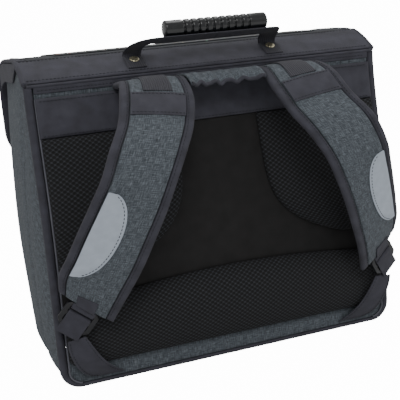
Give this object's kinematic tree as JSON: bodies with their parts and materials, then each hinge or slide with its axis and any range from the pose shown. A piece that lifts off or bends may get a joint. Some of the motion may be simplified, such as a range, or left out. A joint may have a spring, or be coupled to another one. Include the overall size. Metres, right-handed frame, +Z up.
{
  "type": "school_bag",
  "caption": "Boxy grey school bag with a stiff lid, mesh back padding, a ribbed carry handle and curved padded shoulder straps fastened with bar buckles",
  "frame": {"origin": "on the floor under the middle of the bag, half way between its back and front panels", "axes": "+X runs across the bag from the wearer's-side left to right, +Y from the padded back to the front, +Z up"},
  "size_m": [0.4408, 0.3138, 0.3965],
  "materials": {
    "woven": "coarse two-tone weave, matte",
    "smooth": "fine plain weave, matte",
    "mesh": "open air mesh, matte",
    "channel": "plain close weave, matte",
    "webbing": "ribbed webbing, matte",
    "reflective": "reflective film, satin",
    "print": "dark cloth with small printed dots, satin",
    "zip": "toothed zip, matte",
    "plastic": "moulded, satin",
    "grip": "moulded, gloss",
    "rivet": "polished"
  },
  "bodies": {
    "root": {"back_panel": "woven", "front_panel": "woven", "base_panel": "smooth", "side_gusset_left": "woven", "side_gusset_right": "woven", "back_piping": "smooth", "back_channel": "channel", "mesh_pad_left": "mesh", "mesh_pad_right": "mesh", "lumbar_pad": "mesh", "upper_back_band": "smooth", "seam_tape": "smooth", "flap_band": "smooth", "flap": "print", "flap_binding": "smooth", "flap_print": "print", "flap_wing_left": "smooth", "flap_wing_right": "smooth", "shoulder_strap_left": "woven", "shoulder_strap_right": "woven", "strap_binding_inner_left": "smooth", "strap_binding_inner_right": "smooth", "strap_binding_outer_left": "smooth", "strap_binding_outer_right": "smooth", "strap_webbing_left": "webbing", "strap_webbing_right": "webbing", "cross_band_left": "smooth", "cross_band_right": "smooth", "reflector_left": "reflective", "reflector_right": "reflective", "strap_yoke": "woven", "ladder_lock_left": "plastic", "ladder_lock_right": "plastic", "strap_tongue_left": "webbing", "strap_tongue_right": "webbing", "lower_webbing_left": "webbing", "lower_webbing_right": "webbing", "corner_tab_left": "smooth", "corner_tab_right": "smooth", "handle_grip": "grip", "handle_webbing_left": "webbing", "handle_webbing_right": "webbing", "rivet_left": "rivet", "rivet_right": "rivet", "front_pocket": "woven", "pocket_zip": "zip", "zip_puller": "plastic", "closure_strap_left": "webbing", "closure_strap_right": "webbing", "closure_clasp_left": "plastic", "closure_clasp_right": "plastic"}
  },
  "joints": []
}
